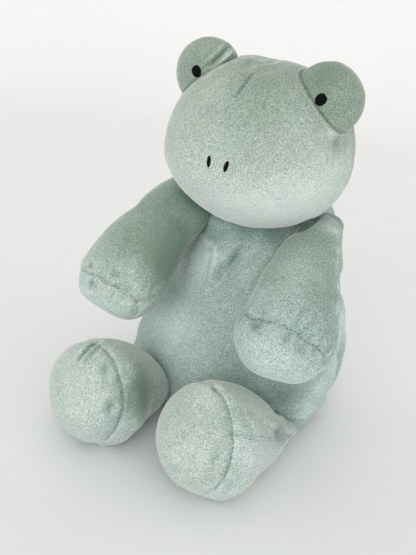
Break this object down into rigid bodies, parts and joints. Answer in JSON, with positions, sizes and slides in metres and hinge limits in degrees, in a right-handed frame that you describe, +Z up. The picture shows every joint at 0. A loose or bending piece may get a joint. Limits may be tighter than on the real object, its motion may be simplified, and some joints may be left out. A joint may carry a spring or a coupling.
{
  "type": "plush frog",
  "caption": "Seated plush frog of soft velour with a stuffed body, embroidered pupils and nostrils, and arms, legs and head that move at their seams.",
  "frame": {"origin": "middle of the seat's flat face, on the ground", "axes": "+Z up, the frog faces -Y, its left side is +X"},
  "size_m": [0.2191, 0.2632, 0.2984],
  "materials": {
    "velour": "short soft pile, pale sage green",
    "embroidery_thread": "black satin stitch",
    "fibre_filling": "loose polyester fibre",
    "pellet_pouch_cloth": "plain woven pouch full of pellets"
  },
  "bodies": {
    "torso": {"torso_front_panel": "velour", "torso_back_panel": "velour", "torso_base_panel": "velour", "torso_filling": "fibre_filling", "pellet_pouch": "pellet_pouch_cloth"},
    "head": {"head_face_panel": "velour", "head_back_panel": "velour", "head_filling": "fibre_filling", "eye_left_front_panel": "velour", "eye_left_back_panel": "velour", "eye_left_filling": "fibre_filling", "pupil_left": "embroidery_thread", "nostril_left": "embroidery_thread", "eye_right_front_panel": "velour", "eye_right_back_panel": "velour", "eye_right_filling": "fibre_filling", "pupil_right": "embroidery_thread", "nostril_right": "embroidery_thread"},
    "arm_left": {"arm_left_upper_panel": "velour", "arm_left_palm_panel": "velour", "arm_left_filling": "fibre_filling"},
    "leg_left": {"leg_left_upper_panel": "velour", "leg_left_lower_panel": "velour", "foot_left_sole_panel": "velour", "leg_left_filling": "fibre_filling"},
    "arm_right": {"arm_right_upper_panel": "velour", "arm_right_palm_panel": "velour", "arm_right_filling": "fibre_filling"},
    "leg_right": {"leg_right_upper_panel": "velour", "leg_right_lower_panel": "velour", "foot_right_sole_panel": "velour", "leg_right_filling": "fibre_filling"}
  },
  "joints": [
    {"name": "neck_turn", "type": "hinge", "parent": "torso", "child": "head", "pos_m": [0, 0.0431, 0.141], "axis": [0, -0.4848, 0.8746], "range_deg": [-25, 25]},
    {"name": "shoulder_left", "type": "hinge", "parent": "torso", "child": "arm_left", "pos_m": [0.0553, 0.04325, 0.1661], "axis": [-0.4404, 0.0289, 0.8973], "range_deg": [0, 70]},
    {"name": "shoulder_right", "type": "hinge", "parent": "torso", "child": "arm_right", "pos_m": [-0.0553, 0.04325, 0.1661], "axis": [-0.4404, -0.0289, -0.8973], "range_deg": [0, 70]},
    {"name": "hip_left", "type": "hinge", "parent": "torso", "child": "leg_left", "pos_m": [0.05765, -0.04194, 0.00514], "axis": [0.756, 0.6545, 0], "range_deg": [0, 75]},
    {"name": "hip_right", "type": "hinge", "parent": "torso", "child": "leg_right", "pos_m": [-0.05765, -0.04194, 0.00514], "axis": [0.756, -0.6545, 0], "range_deg": [0, 75]}
  ]
}
